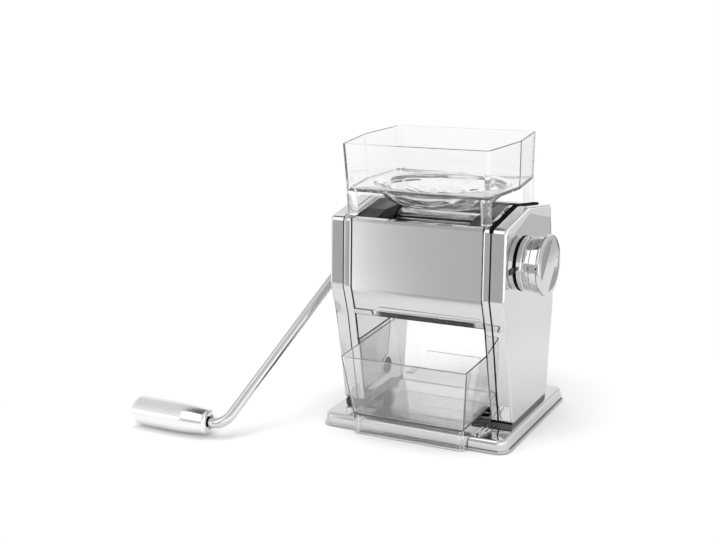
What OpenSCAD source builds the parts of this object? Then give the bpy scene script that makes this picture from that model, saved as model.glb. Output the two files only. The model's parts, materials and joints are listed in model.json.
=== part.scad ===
// Hand-cranked three-roller household grain mill, in millimetres.
// Origin: centre of the base, on the table. +Z is up, -Y is the side of the flour tray and
// +X is the side of the regulator knob. The crank is on the -X side.

/* [Base] */
// Width of the base plate over its lip
base_w = 174; // [172:1:200]
// Depth of the base plate over its lip
base_d = 145; // [135:1:180]
// Height of the base plate's top above the table
base_h = 11.5; // [10:0.5:16]
// Corner radius of the base plate
base_r = 10; // [9:1:16]
// Sheet thickness of the base plate
base_sheet = 1.5; // [1:0.1:2]
// Diameter of a rubber foot
foot_d = 18; // [14:1:20]
// Clearance between the base lip and the table
lip_lift = 1.2; // [0.8:0.1:2]

/* [Side outline] */
// Thickness of the black plinth between base and side
plinth_h = 2.7; // [2:0.1:6]
// Half depth of a side at its foot
foot_y = 40.2; // [36:0.2:46]
// Half depth of a side at its waist in front
waist_y = 51; // [48:0.5:54]
// Height of the waist
waist_z = 98; // [92:1:102]
// Half depth of a side at its widest bend in front
kink_y = 57.6; // [56:0.2:64]
// Height of the widest bend in front
kink_z = 125; // [118:1:130]
// Half depth of a side at its rear bend
rear_kink_y = 57.4; // [54:0.2:62]
// Height of the rear bend
rear_kink_z = 95.5; // [84:0.5:104]
// Half depth of a side at its shoulder
shoulder_y = 51.8; // [49:0.2:56]
// Height of the shoulder, which is also the top of the front panel
shoulder_z = 184; // [182:1:200]
// Height of the ridge above the shoulder
ridge_rise = 8.5; // [7:0.5:12]

/* [Side layers] */
// Half width between the two inner sides
inner_x = 60; // [58:1:70]
// Depth of the dished inner side
inner_depth = 6.8; // [6.4:0.1:9]
// Thickness of the black gasket between inner side and cover
gasket_t = 1; // [0.8:0.1:2]
// Depth of the outer cover
cover_depth = 12.4; // [11.2:0.2:14]
// Sheet thickness of sides, covers and panels
sheet = 1.2; // [0.8:0.1:1.5]
// Rounding of the cover's outer edge
cover_edge_r = 2; // [1.6:0.2:4.4]
// Rounding of the inner side's edge
inner_edge_r = 2; // [1.8:0.1:3]
// Thickness of a bearing plate
plate_t = 3; // [2.5:0.1:3.4]
// Diameter of the round hole in the left inner side
eyelet_d = 16; // [12:0.5:20]

/* [Rollers] */
// Diameter of the drive roller and the adjustable roller
roller_d = 27.4; // [26.6:0.1:27.6]
// Diameter of the feed roller
feed_d = 26.4; // [25.6:0.1:27]
// Gap between a roller barrel's end and the inner side
barrel_gap = 3; // [2.8:0.1:4]
// Distance of the drive roller behind the middle
drive_y = 12.5; // [12:0.1:13]
// Height of the drive roller's axis
drive_z = 138.5; // [138:0.1:139.5]
// Distance between the axes of meshing rollers
roller_pitch = 28.15; // [28:0.05:28.6]
// Direction from drive roller to adjustable roller, from +Y towards +Z
drive_to_adjust = 160.3; // [158:0.1:162]
// Direction from adjustable roller to feed roller
adjust_to_feed = 50; // [46:1:54]
// Roller journal diameter
journal_d = 9; // [8:0.1:10]
// Number of flutes on a milling roller
mill_flutes = 60; // [40:1:72]
// Depth of the flutes on a milling roller
mill_flute_depth = 0.5; // [0.3:0.1:0.8]
// Number of flutes on the feed roller
feed_flutes = 26; // [16:1:36]
// Depth of the flutes on the feed roller
feed_flute_depth = 1.4; // [0.8:0.1:2]
// How far the adjustable roller backs away from its neighbours
gap_travel = 1.1; // [0.6:0.1:1.3]

/* [Gears] */
// Teeth on each of the three roller gears
gear_teeth = 14; // [12:1:18]
// Teeth on the idler gear between the drive gear and the feed gear
idler_teeth = 12; // [11:1:14]
// Width of the drive gear
gear_w = 4; // [3:0.1:4.1]
// Play of the teeth at the pitch circle
gear_backlash = 0.3; // [0.2:0.05:0.5]

/* [Regulator] */
// Outer radius of the black ring under the knob
ring_r = 23; // [21.5:0.5:25]
// Radius of the knob's first and second bands
knob_r = 22.7; // [21:0.1:24]
// Radius of the knob's rim
rim_r = 25.8; // [25:0.2:29]
// Distance that the knob pulls out
knob_pull = 4; // [3:0.5:4]
// Turn of the knob from fine to coarse, in degrees
knob_turn = 300; // [180:10:310]
// Rest distance of the follower pin from the knob axis
follower_r = 10; // [9.6:0.2:11]

/* [Crank] */
// Diameter of the bent crank rod
rod_d = 9.4; // [8:0.1:10]
// Distance of the grip's axis from the drive axis
crank_reach = 193; // [150:1:196]
// Distance that the arm leans outwards between its two bends
crank_splay = 52.8; // [30:1:60]
// Bend radius of the rod at its centre line
bend_r = 14; // [10:1:18]
// Length of the grip
grip_len = 79; // [70:1:95]
// Largest diameter of the grip
grip_d = 26.6; // [24:0.2:30]
// Diameter of the grip at its open end
grip_neck_d = 21; // [18:0.5:23]

/* [Hopper] */
// Height of the hopper rim
hopper_z = 247; // [240:1:270]
// Height of the underside of the hopper floor
hopper_floor_z = 206; // [204:0.5:215]
// Half width of the rim at its front and rear corners
hopper_corner_x = 66.3; // [64:0.1:70]
// Half width of the rim at its middle corners
hopper_mid_x = 73.1; // [71:0.1:78]
// Half depth of the rim
hopper_y = 51.8; // [50:0.2:56]
// Inward draft of the hopper walls down to the floor
hopper_draft = 1.4; // [0.5:0.1:2]
// Wall of the hopper
hopper_wall = 1.8; // [1.4:0.1:2.4]
// Length of the slot that feeds the rollers
slot_len = 44; // [36:1:60]
// Width of the slot that feeds the rollers
slot_w = 9; // [7:0.5:12]
// Diameter of a hopper post
post_d = 9; // [7:0.5:10]

/* [Tray] */
// Half width of the tray at its rim
tray_top_x = 58; // [56:0.5:59]
// Half width of the tray at its floor
tray_floor_x = 52; // [48:0.5:54]
// Length of the tray rim
tray_len = 104; // [90:1:120]
// Height of the front of the tray rim
tray_rim_z = 71.2; // [60:0.2:80]
// Rise of the tray rim from front to rear
tray_rise = 4; // [0:0.5:6]
// Wall of the tray
tray_wall = 1.6; // [1.3:0.1:2.5]
// Gap between the base and the front of the tray's skirt
tray_open = 3.7; // [3.4:0.1:8]
// Rounding between the tray's floor and its walls
tray_fillet = 4; // [2.6:0.2:5]

/* [Fits] */
// Radial clearance of a shaft in its bearing, and of a piece pressed in a hole
run_gap = 0.05; // [0.02:0.01:0.1]
// Clearance between pieces that slide or pass each other
pass_gap = 0.3; // [0.25:0.05:0.4]

/* [Hidden] */
$fn = 64;

// Heights and layers of the body
foot_z = base_h + plinth_h;
ridge_z = shoulder_z + ridge_rise;
seam_x = inner_x + inner_depth;
cover_x0 = seam_x + gasket_t;
cover_x = cover_x0 + cover_depth;
plate_x = inner_x + sheet;
plate_end = plate_x + plate_t;
arc_steps = 7;
bead_lap = 0.9;
bead_h = 1.3;
edge_steps = 4;

// Axes of the adjustable roller and the feed roller
adjust_y = drive_y + roller_pitch * cos(drive_to_adjust);
adjust_z = drive_z + roller_pitch * sin(drive_to_adjust);
feed_y = adjust_y + roller_pitch * cos(adjust_to_feed);
feed_z = adjust_z + roller_pitch * sin(adjust_to_feed);
barrel_x = inner_x - barrel_gap;

// Fasteners
rod_y = 45;
rod_zs = [112, shoulder_z - 14];
tie_rod_d = 6;
screw_d = 4;
screw_head_d = 7.4;
screw_head_h = 2.4;
tap_depth = 10;
stud_d = 7;
stud_y = 44;
stud_z = 140;
low_stud_z = 62;
base_screw_d = 3;
nut_af = 5.5;
nut_h = 2.4;
base_screw_x = cover_x0 + nut_af / 2 / cos(30) + pass_gap;
base_screw_y = 28;
foot_inset = [16, 15];
rib_x = 57;
rib_step = 4;
rib_y = 57.5;
rib_len = 18;
rib_w = 1.8;

// Panels
panel_low_z = 105;
rear_low_z = 64;
panel_return = 6;
lip_low_z = 99;
lip_top_z = 108.3;
lip_t = 1;
lip_bar_t = 2.4;
lip_gap = 0.9;
lip_groove = 0.7;
lip_notch = 2.2;
lip_r = 2.2;
lip_steps = 4;
leaf_lap = 0.01;
leaf_x = [-41, 59];
leaf_cut = [6, 2];
eyelet_y = 2;
eyelet_z = 34.5;
eyelet_proud = 0.9;
eyelet_wall = 1.2;
eyelet_flange = 1.6;

// Bearings
bush_wall = 1.5;
bush_flange = 1.2;
bush_rim = 2;
bush_proud = 0.6;
crank_bush_rim = 4;
drive_neck_d = 14;
socket_af = 7.5;
socket_depth = 18;
shaft_end_x = cover_x + 1.5;
block_front = 13.5;
block_back = 9.5;
block_h = 14;
block_x0 = inner_x - pass_gap;
yoke_x0 = barrel_x + 0.5;
yoke_front = 20;
yoke_back = 11;
yoke_bar_t = 3;
plate_low = 104;
plate_top = shoulder_z - 4;
plate_inset = sheet + inner_edge_r;

// Grain guides
guide_w = 18;
guide_y = 41.6;
guide_z = [173, 182, 186.4];
guide_flat = [-22, 24];
guide_gap = 0.6;

// Gears: the wide drive gear meshes with the adjustable gear at its inner end, and through the
// idler with the feed gear at its outer end
gear_end_x = cover_x - sheet - 0.8;
gear_mid_gap = 0.4;
outer_gear_x = -gear_end_x + gear_w - gear_mid_gap;
gear_module = roller_pitch / gear_teeth;
gear_pressure = 20;
idler_d = 7;
idler_reach = gear_module * (gear_teeth + idler_teeth) / 2;
drive_to_feed = atan2(feed_z - drive_z, feed_y - drive_y);
feed_reach = norm([feed_y - drive_y, feed_z - drive_z]);
drive_to_idler = drive_to_feed - acos(feed_reach / 2 / idler_reach);
idler_to_feed = drive_to_feed + acos(feed_reach / 2 / idler_reach);
idler_y = drive_y + idler_reach * cos(drive_to_idler);
idler_z = drive_z + idler_reach * sin(drive_to_idler);
drive_phase = 0;
adjust_phase = meshed(drive_phase, drive_to_adjust, gear_teeth, gear_teeth);
idler_phase = meshed(drive_phase, drive_to_idler, gear_teeth, idler_teeth);
feed_phase = meshed(idler_phase, idler_to_feed, idler_teeth, gear_teeth);

// Regulator, along X from the cam outwards
cam_t = 2.6;
cam_x1 = cover_x - 7;
cam_r = 18;
cam_bore_d = 9;
follower_d = 4;
follower_end = cam_x1 - 0.4;
collar_d = 18;
collar_t = 2.5;
shaft_d = 13;
shaft_af = 11;
bush_x0 = cover_x - sheet - 2;
bush_x1 = cover_x + 0.7;
hex_x0 = cover_x + 0.9;
knob_x = cover_x + 1.1;
band_x = [knob_x, knob_x + 4.8, knob_x + 5.4, knob_x + 11.2, knob_x + 17.8];
ring_t = 0.8;
dimple_depth = 0.4;
band_edge = 0.6;
groove_depth = 1.4;
third_band_r = knob_r + 0.9;
spring_x0 = knob_x + 3.6;
spring_x1 = spring_x0 + 9.5;
spring_r = 8.4;
spring_wire = 1;
spring_turns = 4;
knob_cavity_r = 10.8;
end_washer_r = 10;
recess_r = 20;
recess_depth = 1.2;
rim_x = band_x[4] + 0.6;
rim_t = 3.3;
rim_dome = 0.6;
rim_edge = 0.8;
pocket_r = rim_r - 4.4;
pocket_chord = 9.6;
pocket_depth = 2.2;
pocket_turn = -41;
index_r = 16;
index_pitch = 15;
mark_len = 8.8;
mark_h = 4.6;
grub_x = knob_x + 8.6;
grub_angle = 197;

// Crank
grip_clear = 0.7;
grip_z = grip_d / 2 + grip_clear;
arm_angle = 180 + asin((drive_z - grip_z) / crank_reach);
lean = atan2(crank_reach, crank_splay);
bend_tangent = bend_r * tan(lean / 2);
bend_x1 = shaft_end_x + 0.9 + bend_tangent;
bend_x2 = bend_x1 + crank_splay;
grip_x = bend_x2 + bend_tangent + 3.8;
axle_end = grip_x + grip_len - 8;
pocket_x = axle_end - 3.8;
grip_pocket_r = 8;
retainer_t = 1.5;
cap_depth = 6;
mouth_d = 13;
mouth_depth = 7;
rod_lap = 0.1;
rod_step = 0.02;

// Hopper
floor_t = 2.2;
bowl_x = 54;
bowl_y = 38.5;
slot_y = -8;
slot_z = 188;
slot_wall = 2;
post_x = 61;
post_y = 46.5;
edge_points = 6;
corner_steps = 3;
hopper_corner_r = 3.5;
bowl_steps = 6;
bowl_turn = 60;
bowl_flare = [[0.94, 0.66], [1, 0.81], [1.06, 0.92], [1.12, 0.98], [1.18, 1]];

// Tray
tray_z = 16.5;
skirt_t = 2;
tray_front = -(base_d / 2 + tray_open + skirt_t);
tray_draft_front = 6;
tray_draft_back = 2;
tray_back = tray_front - tray_draft_front + tray_len - tray_draft_back;
tray_corner_r = 2.6;
tray_edge = 0.5;
tray_steps = 3;
skirt_lap = 3.5;
finger_rib = [52, 2, 4.5];
finger_rib_z = 43;
skirt_x = 50;
runner_h = tray_z - pass_gap - base_h;
runner_x0 = 42;
runner_x1 = inner_x - pass_gap;
runner_front = -38.5;
runner_mid = -15;
runner_back = 20;
rail_w = 3.7;
runner_rim = 3;
runner_floor = 1.5;
pocket_len = 7.5;

// ---------- helpers ----------

// A 2D outline in (Y, Z) drawn along X from x0
module along_x(x0, len) translate([x0, 0, 0]) rotate([90, 0, 90]) linear_extrude(len) children();

// Cylinder along X from x0 to x1 about (y, z)
module bar_x(x0, x1, d, y, z) translate([x0, y, z]) rotate([0, 90, 0]) cylinder(h = x1 - x0, d = d);

// Hexagonal bar along X from x0 to x1, across flats af
module hex_x(x0, x1, af, y, z)
    translate([x0, y, z]) rotate([0, 90, 0]) cylinder(h = x1 - x0, d = af / cos(30), $fn = 6);

// An outline of (x, radius) points turned about the X axis through (y, z)
module turned(y, z, outline)
    translate([0, y, z]) rotate([0, 90, 0]) rotate_extrude() polygon([for (p = outline) [p[1], p[0]]]);

// Cylinder pointing away from the X axis through (y, z), from radius r0 to r1, at x
module radial(x, y, z, angle, r0, r1, d)
    translate([x, y, z]) rotate([angle - 90, 0, 0]) translate([0, 0, r0]) cylinder(h = r1 - r0, d = d);

module left_hand() mirror([1, 0, 0]) children();

function unit(v) = v / norm(v);
function outward(p, q) = let (d = unit(q - p)) [d[1], -d[0]];
function polar(r, angle) = [r * cos(angle), r * sin(angle)];

// Points round one corner of an outline that is moved inwards by an inset
function corner_arc(a, p, b, r, inset, steps = arc_steps) =
    let (n1 = outward(a, p), n2 = outward(p, b), turn = n1[0] * n2[1] - n1[1] * n2[0],
         s = turn >= 0 ? 1 : -1, centre = p - s * r * (n1 + n2) / (1 + n1 * n2),
         start = atan2(n1[1], n1[0]), sweep = atan2(turn, n1 * n2))
    [for (i = [0:steps]) centre + polar(s * r - inset, start + sweep * i / steps)];

// Corners of a side in (Y, Z), counter-clockwise seen from +X, and the radius of each
side_corners = [[-foot_y, foot_z], [foot_y, foot_z], [rear_kink_y, rear_kink_z],
    [shoulder_y, shoulder_z], [0, ridge_z], [-shoulder_y, shoulder_z], [-kink_y, kink_z],
    [-waist_y, waist_z]];
side_radii = [5, 5, 10, 5, 16, 5, 10, 10];

function side_outline(inset) =
    let (n = len(side_corners))
    [for (i = [0:n - 1]) each corner_arc(side_corners[(i + n - 1) % n], side_corners[i],
        side_corners[(i + 1) % n], side_radii[i], inset)];

// Half depth of the side between two of its corners, at height z
function between(z, low, high) = low[0] + (high[0] - low[0]) * (z - low[1]) / (high[1] - low[1]);
foot_c = [foot_y, foot_z];
waist_c = [waist_y, waist_z];
kink_c = [kink_y, kink_z];
rear_kink_c = [rear_kink_y, rear_kink_z];
shoulder_c = [shoulder_y, shoulder_z];

// Surface through a chain of loops with equal point counts, closed by its end faces, or into a
// ring. Loops run counter-clockwise seen from the side where the chain's outer wall starts.
module skin(loops, ring = false, flip = false) {
    n = len(loops[0]);
    m = len(loops);
    bands = [for (i = [0:(ring ? m : m - 1) - 1], k = [0:n - 1])
        let (next = ((i + 1) % m) * n, here = i * n, right = (k + 1) % n)
        each [[here + k, here + right, next + right], [here + k, next + right, next + k]]];
    ends = ring ? [] : [[for (k = [n - 1:-1:0]) k], [for (k = [0:n - 1]) (m - 1) * n + k]];
    faces = concat(bands, ends);
    turned_over = [for (f = faces) [for (k = [len(f) - 1:-1:0]) f[k]]];
    polyhedron([for (l = loops) each l], flip ? turned_over : faces);
}

function at_x(x, loop) = [for (p = loop) [x, p[0], p[1]]];

// Dished sheet part with the side's outline: its face at face_x, its rim running to open_x
module dished(face_x, open_x, edge_r) {
    dir = face_x > open_x ? 1 : -1;
    inner_r = max(edge_r - sheet, 0.4);
    outer = [for (i = [edge_steps:-1:0]) let (t = 90 * i / edge_steps)
        at_x(face_x - dir * edge_r * (1 - sin(t)), side_outline(edge_r * (1 - cos(t))))];
    inner = [for (i = [0:edge_steps]) let (t = 90 * i / edge_steps, back = sheet + inner_r * (1 - sin(t)))
        at_x(face_x - dir * back, side_outline(sheet + inner_r * (1 - cos(t))))];
    edge = [at_x(open_x, side_outline(0)), at_x(open_x, side_outline(sheet))];
    skin(concat(outer, edge, inner), flip = dir < 0);
}

// ---------- base ----------

// The two-fold ring of a (reach, height) profile round the base
module base_sweep() {
    cx = base_w / 2 - base_r;
    cy = base_d / 2 - base_r;
    corners = [[1, 1], [-1, 1], [-1, -1], [1, -1]];
    for (k = [0:3])
        translate([corners[k][0] * cx, corners[k][1] * cy, 0])
            rotate([0, 0, 90 * k]) rotate_extrude(angle = 90) children();
    for (turn = [0, 180]) rotate([0, 0, turn]) {
        translate([-cx, cy, 0]) rotate([90, 0, 90]) linear_extrude(2 * cx) children();
        rotate([0, 0, -90]) translate([-cy, cx, 0]) rotate([90, 0, 90]) linear_extrude(2 * cy) children();
    }
}

// Pressed rim: flared lip, upright wall and rounded shoulder, one sheet thick
module base_rim() {
    r = base_r;
    z = lip_lift;
    h = base_h;
    t = base_sheet;
    polygon([[r, z], [r, z + 1.3], [r - 1.3, z + 2.1], [r - 2.1, h - 1.9], [r - 3.2, h - 0.4],
        [r - 4.6, h], [r - 6, h], [r - 6, h - t], [r - 4.6, h - t], [r - 3.2 - 0.7 * t, h - t - 0.3],
        [r - 1.3 - t, z + 1.5], [r - t, z + 0.6], [r - t, z]]);
}

module base_plate() color("gainsboro") difference() {
    union() {
        base_sweep() base_rim();
        translate([0, 0, base_h - base_sheet]) linear_extrude(base_sheet) {
            square([base_w - 10, base_d - 2 * base_r], center = true);
            square([base_w - 2 * base_r, base_d - 10], center = true);
            for (x = [-1, 1], y = [-1, 1])
                translate([x * (base_w / 2 - base_r), y * (base_d / 2 - base_r)]) circle(base_r - 5);
        }
        // Pairs of short stiffening ribs in front of and behind each side
        for (x = [-rib_x - rib_step, -rib_x, rib_x, rib_x + rib_step], y = [-1, 1])
            translate([x, y * rib_y, base_h + 0.3]) cube([rib_w, rib_len, 1], center = true);
    }
    base_screw_holes(base_h - base_sheet, base_sheet);
}

module base_screw_places()
    for (x = [-1, 1], y = [-1, 1]) translate([x * base_screw_x, y * base_screw_y, 0]) children();

module base_screw_holes(z, t)
    base_screw_places() translate([0, 0, z - 1]) cylinder(h = t + 2, d = base_screw_d + pass_gap);

module rubber_feet() color("dimgray") {
    r = foot_d / 2;
    for (x = [-1, 1], y = [-1, 1])
        translate([x * (base_w / 2 - foot_inset[0]), y * (base_d / 2 - foot_inset[1]), 0])
            rotate_extrude() polygon([[0, 0], [r - 1, 0], [r, 1], [r - 0.6, 3.4], [r - 3, 4],
                [r - 3, base_h - base_sheet], [0, base_h - base_sheet]]);
}

module right_plinth() color("black") difference() {
    translate([(inner_x + cover_x) / 2, 0, base_h]) linear_extrude(plinth_h)
        square([cover_depth + inner_depth - 1, 2 * foot_y - 1.4], center = true);
    base_screw_holes(base_h, plinth_h);
}
module left_plinth() left_hand() right_plinth();

module base_screws() color("silver") base_screw_places() {
    head_z = base_h - base_sheet - screw_head_h;
    translate([0, 0, head_z]) cylinder(h = screw_head_h, d = screw_head_d);
    translate([0, 0, head_z + 1]) cylinder(h = foot_z + sheet + nut_h - head_z, d = base_screw_d);
}

module base_nuts() color("silver") base_screw_places() translate([0, 0, foot_z + sheet]) difference() {
    cylinder(h = nut_h, d = nut_af / cos(30), $fn = 6);
    translate([0, 0, -1]) cylinder(h = nut_h + 2, d = base_screw_d + 2 * run_gap);
}

// ---------- sides ----------

// Openings that the web of an inner side and its bearing plate share
module bearing_cuts(drive_hole_d) {
    x0 = inner_x - 1;
    x1 = plate_end + 1;
    bar_x(x0, x1, drive_hole_d + 2 * run_gap, drive_y, drive_z);
    bar_x(x0, x1, journal_d + 2 * bush_wall + 2 * run_gap, feed_y, feed_z);
    along_x(x0, x1 - x0)
        translate([adjust_y - block_front - gap_travel - pass_gap, adjust_z - block_h / 2 - run_gap])
            square([block_front + block_back + gap_travel + 2 * pass_gap, block_h + 2 * run_gap]);
    for (y = [-rod_y, rod_y], z = rod_zs) bar_x(x0, x1, screw_d + pass_gap, y, z);
}

module inner_side(drive_hole_d) color("lightgray") difference() {
    dished(inner_x, seam_x, inner_edge_r);
    bearing_cuts(drive_hole_d);
    children();
}
module right_inner_side() inner_side(journal_d + 2 * bush_wall);
module left_inner_side() left_hand() inner_side(drive_neck_d + 2 * bush_wall)
    bar_x(inner_x - 1, plate_x + 1, eyelet_d, eyelet_y, eyelet_z);

module bearing_plate(drive_hole_d) color("slategray") difference() {
    along_x(plate_x, plate_t) intersection() {
        polygon(side_outline(plate_inset));
        translate([-kink_y, plate_low]) square([2 * kink_y, plate_top - plate_low]);
    }
    bearing_cuts(drive_hole_d);
    children();
}
module right_bearing_plate() bearing_plate(journal_d + 2 * bush_wall);
module left_bearing_plate() left_hand() bearing_plate(drive_neck_d + 2 * bush_wall)
    bar_x(plate_x - 1, plate_end + 1, idler_d - 2 + 2 * run_gap, idler_y, idler_z);

// Seal in the seam, a little proud of it, with a wider bead along the two top slopes
module right_side_gasket() color("black") {
    along_x(seam_x, gasket_t) intersection() {
        difference() {
            polygon(side_outline(-0.5));
            polygon(side_outline(3));
        }
        translate([-2 * kink_y, foot_z]) square([4 * kink_y, 2 * ridge_z]);
    }
    along_x(seam_x - bead_lap, gasket_t + 2 * bead_lap) intersection() {
        difference() {
            polygon(side_outline(-bead_h));
            polygon(side_outline(0));
        }
        translate([-kink_y, shoulder_z - 3]) square([2 * kink_y, ridge_rise + 10]);
    }
}
module left_side_gasket() left_hand() right_side_gasket();

module side_cover() color("gainsboro") difference() {
    dished(cover_x, cover_x0, cover_edge_r);
    children();
    base_screw_holes(foot_z, sheet);
}
module right_side_cover() side_cover()
    bar_x(cover_x - sheet - 1, cover_x + 1, shaft_d + 4 + 2 * run_gap, adjust_y, adjust_z);
module left_side_cover() left_hand() side_cover()
    bar_x(cover_x - sheet - 1, cover_x + 1, drive_neck_d + 4 + 2 * run_gap, drive_y, drive_z);

// Studs that carry the covers on the inner sides
module cover_studs() color("silver") for (side = [0, 1]) mirror([side, 0, 0]) {
    for (y = [-stud_y, stud_y]) bar_x(plate_end, cover_x - sheet, stud_d, y, stud_z);
    bar_x(plate_x, cover_x - sheet, stud_d, 0, low_stud_z);
}

// Rolled ring pressed in the round hole of the left side
module eyelet() left_hand() color("silver") {
    r = eyelet_d / 2;
    face = inner_x - eyelet_proud;
    turned(eyelet_y, eyelet_z, [[face, r - eyelet_wall], [face, r + eyelet_flange - 0.6],
        [face + 0.5, r + eyelet_flange], [inner_x, r + eyelet_flange], [inner_x, r - run_gap],
        [plate_x + 1, r - run_gap], [plate_x + 1, r - eyelet_wall]]);
}

module index_mark() color("black") along_x(cover_x, 0.8)
    translate([adjust_y - ring_r - pass_gap - mark_len, adjust_z - mark_h / 2]) square([mark_len, mark_h]);

// ---------- panels ----------

// Sheet of panel along the front or rear of the sides; corners run from bottom to top
module panel(corners) {
    top = corners[len(corners) - 1];
    inside = [for (i = [len(corners) - 2:-1:0]) corners[i] - [sheet, 0]];
    along_x(-inner_x, 2 * inner_x) polygon(concat(corners,
        [top - [panel_return, 0], top - [panel_return, sheet], top - [sheet, sheet]], inside));
}
module front_panel() color("silver") mirror([0, 1, 0])
    panel([[between(panel_low_z, waist_c, kink_c), panel_low_z], kink_c, shoulder_c]);
module rear_panel() color("silver")
    panel([[between(rear_low_z, foot_c, rear_kink_c), rear_low_z], rear_kink_c, shoulder_c]);

// Lip under the front panel: a short bar at its left end, and a longer one with a leaf over the
// panel's face, with a groove between leaf and bar
module chute_lip() color("gray") mirror([0, 1, 0]) {
    bar_top = panel_low_z - lip_gap;
    low = between(lip_low_z, waist_c, kink_c);
    top = between(bar_top, waist_c, kink_c);
    edge = between(panel_low_z, waist_c, kink_c);
    high = between(lip_top_z, waist_c, kink_c);
    bar = [for (k = [0:lip_steps]) let (t = 90 * k / lip_steps)
        [low + lip_t - lip_r * (1 - sin(t)), lip_low_z + lip_r * (1 - cos(t))]];
    along_x(-inner_x, inner_x + leaf_x[0] - lip_notch)
        polygon(concat(bar, [[top + lip_t, bar_top], [top - lip_bar_t, bar_top], [low - lip_bar_t, lip_low_z]]));
    difference() {
        along_x(leaf_x[0], inner_x - leaf_x[0]) polygon(concat(bar, [[edge + lip_t, panel_low_z],
            [edge - lip_bar_t, panel_low_z], [low - lip_bar_t, lip_low_z]]));
        translate([leaf_x[0] + leaf_cut[0], edge, bar_top - lip_groove])
            cube([leaf_x[1] - leaf_x[0] - leaf_cut[0], lip_t + 1, lip_groove]);
    }
    intersection() {
        along_x(-inner_x, 2 * inner_x) polygon([[edge, panel_low_z - leaf_lap],
            [edge + lip_t, panel_low_z - leaf_lap], [high + lip_t, lip_top_z], [high, lip_top_z]]);
        rotate([90, 0, 0]) linear_extrude(4 * kink_y, center = true)
            polygon([[leaf_x[0], panel_low_z - 1], [leaf_x[1], panel_low_z - 1],
                [leaf_x[1] - leaf_cut[1], lip_top_z], [leaf_x[0] + leaf_cut[0], lip_top_z]]);
    }
}

// ---------- frame inside ----------

module tie_rods() color("silver") for (y = [-rod_y, rod_y], z = rod_zs) difference() {
    bar_x(-inner_x, inner_x, tie_rod_d, y, z);
    for (side = [0, 1]) mirror([side, 0, 0])
        bar_x(inner_x - tap_depth, inner_x + 1, screw_d + 2 * run_gap, y, z);
}

module rod_screws() color("dimgray") for (side = [0, 1], y = [-rod_y, rod_y], z = rod_zs)
    mirror([side, 0, 0]) {
    bar_x(inner_x - tap_depth + 1, plate_end + 0.5, screw_d, y, z);
    difference() {
        bar_x(plate_end, plate_end + screw_head_h, screw_head_d, y, z);
        hex_x(plate_end + 1, plate_end + screw_head_h + 1, 2.5, y, z);
    }
}

// Flanged bush in the web and plate of the right side
module bush(bore_d, y, z) {
    r = bore_d / 2 + bush_wall;
    bore = bore_d / 2 + run_gap;
    turned(y, z, [[inner_x - bush_flange, bore], [inner_x - bush_flange, r + bush_rim],
        [inner_x, r + bush_rim], [inner_x, r], [plate_end + bush_proud, r], [plate_end + bush_proud, bore]]);
}
module drive_bushes() color("goldenrod") {
    bush(journal_d, drive_y, drive_z);
    left_hand() bush(drive_neck_d, drive_y, drive_z);
}
module feed_bushes() color("goldenrod") for (side = [0, 1]) mirror([side, 0, 0])
    bush(journal_d, feed_y, feed_z);

module crank_bush() left_hand() color("dimgray") {
    bore = drive_neck_d / 2 + run_gap;
    wall = bush_rim - run_gap;
    turned(drive_y, drive_z, [[cover_x - sheet, bore], [cover_x - sheet, bore + wall],
        [cover_x, bore + wall], [cover_x, bore + crank_bush_rim], [cover_x + 0.6, bore + crank_bush_rim],
        [cover_x + 1, bore + crank_bush_rim - 0.4], [cover_x + 1, bore]]);
}

// ---------- rollers and gears ----------

// Roller barrel with straight flutes
module barrel(d, flutes, depth, y, z) along_x(-barrel_x, 2 * barrel_x) translate([y, z])
    polygon([for (i = [0:2 * flutes - 1]) polar(d / 2 - (i % 2) * depth, 180 * i / flutes)]);

module drive_roller() color("lightslategray") difference() {
    union() {
        barrel(roller_d, mill_flutes, mill_flute_depth, drive_y, drive_z);
        bar_x(0, plate_end + 0.8, journal_d, drive_y, drive_z);
        bar_x(-shaft_end_x, 0, drive_neck_d, drive_y, drive_z);
    }
    hex_x(-shaft_end_x - 1, -shaft_end_x + socket_depth, socket_af, drive_y, drive_z);
}
module adjustable_roller() color("lightslategray") {
    barrel(roller_d, mill_flutes, mill_flute_depth, adjust_y, adjust_z);
    bar_x(-gear_end_x + gear_w, plate_end - 0.4, journal_d, adjust_y, adjust_z);
}
module feed_roller() color("lightslategray") {
    barrel(feed_d, feed_flutes, feed_flute_depth, feed_y, feed_z);
    bar_x(-gear_end_x, plate_end + 0.8, journal_d, feed_y, feed_z);
}

// Direction of a tooth of the gear that meshes with one whose tooth points along phase
function meshed(phase, direction, teeth, next_teeth) =
    direction + 180 + (180 - (phase - direction) * teeth) / next_teeth;

tooth_share = 0.85;
root_share = 1.2;
root_relief = 0.8;
flank_steps = 4;
function involute(base, r) = let (a = acos(min(1, base / r))) tan(a) * 180 / PI - a;

// Involute gear outline with a tooth centred on the direction of its phase
module gear_outline(teeth, phase) {
    pitch_r = gear_module * teeth / 2;
    base = pitch_r * cos(gear_pressure);
    tip = pitch_r + tooth_share * gear_module;
    root = pitch_r - root_share * gear_module;
    half = 90 / teeth - gear_backlash / 4 / pitch_r * 180 / PI + involute(base, pitch_r);
    radii = [for (k = [0:flank_steps]) base + (tip - base) * k / flank_steps];
    flank = concat([[root, half - root_relief]], [for (r = radii) [r, half - involute(base, r)]]);
    n = len(flank);
    polygon([for (i = [0:teeth - 1]) let (c = phase + i * 360 / teeth) each concat(
        [for (f = flank) polar(f[0], c - f[1])],
        [for (k = [n - 1:-1:0]) polar(flank[k][0], c + flank[k][1])])]);
}

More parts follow.
